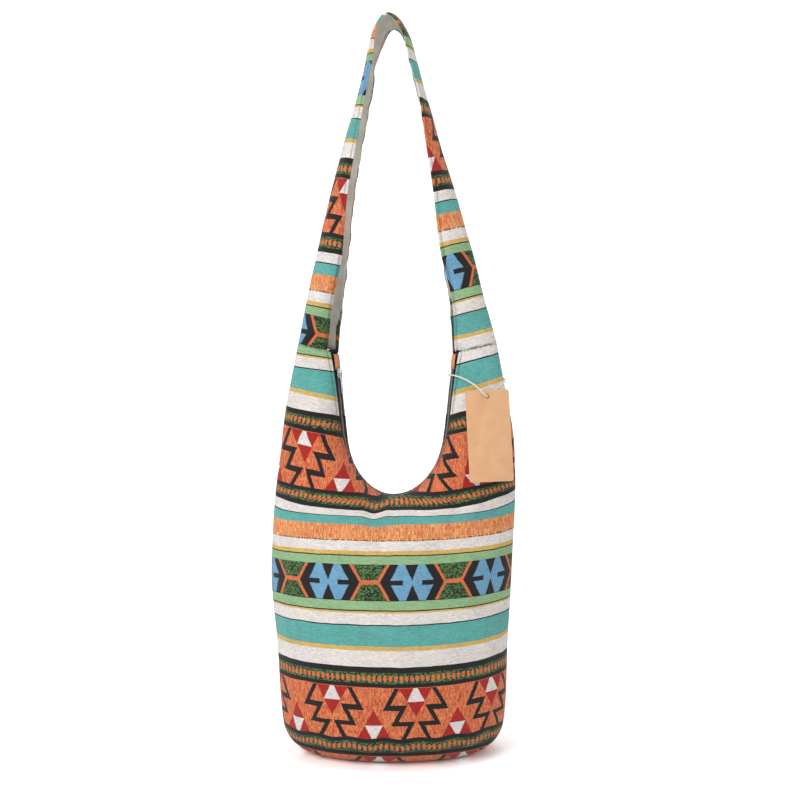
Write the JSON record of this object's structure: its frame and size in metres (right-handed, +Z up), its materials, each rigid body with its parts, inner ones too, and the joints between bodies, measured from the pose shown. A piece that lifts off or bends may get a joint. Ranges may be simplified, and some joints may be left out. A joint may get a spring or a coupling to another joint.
{
  "type": "woven hobo sling bag",
  "caption": "Soft woven shoulder bag with an oval base, two horns round a zipped U-shaped mouth, one wide strap and a hang tag on a cord.",
  "frame": {"origin": "middle of the underside of the base", "axes": "+Z up towards the strap, +X to the wearer's right when facing the front, +Y from the front to the back"},
  "size_m": [0.302, 0.1714, 0.914],
  "materials": {
    "jacquard": "matte woven jacquard in stripes, zigzags and hexagons",
    "lining": "plain grey cotton",
    "tape": "black woven zip tape",
    "coil": "grey nylon coil",
    "metal": "polished zinc, silver",
    "kraft": "stiff kraft card",
    "cord": "cream cotton cord"
  },
  "bodies": {
    "bag": {"front_panel": "jacquard", "back_panel": "jacquard", "base_panel": "jacquard", "front_lining": "lining", "back_lining": "lining", "base_lining": "lining", "strap_outer_left": "jacquard", "strap_outer_right": "jacquard", "strap_lining_left": "lining", "strap_lining_right": "lining", "zipper_tape_front": "tape", "zipper_tape_back": "tape", "zipper_coil_front": "coil", "zipper_coil_back": "coil", "zipper_end_tab_left": "jacquard", "zipper_end_tab_right": "jacquard", "hang_tag": "kraft", "tag_cord": "cord"},
    "slider": {"zipper_slider": "metal"},
    "pull": {"zipper_pull": "metal"}
  },
  "joints": [
    {"name": "slider_slide", "type": "slide", "parent": "bag", "child": "slider", "axis": [0.0956, 0, -0.9954], "range_m": [0, 0.055]},
    {"name": "pull_swing", "type": "hinge", "parent": "slider", "child": "pull", "pos_m": [-0.06561, -0.00089, 0.46628], "axis": [-0.2061, -0.9783, -0.0198], "range_deg": [0, 150]}
  ]
}
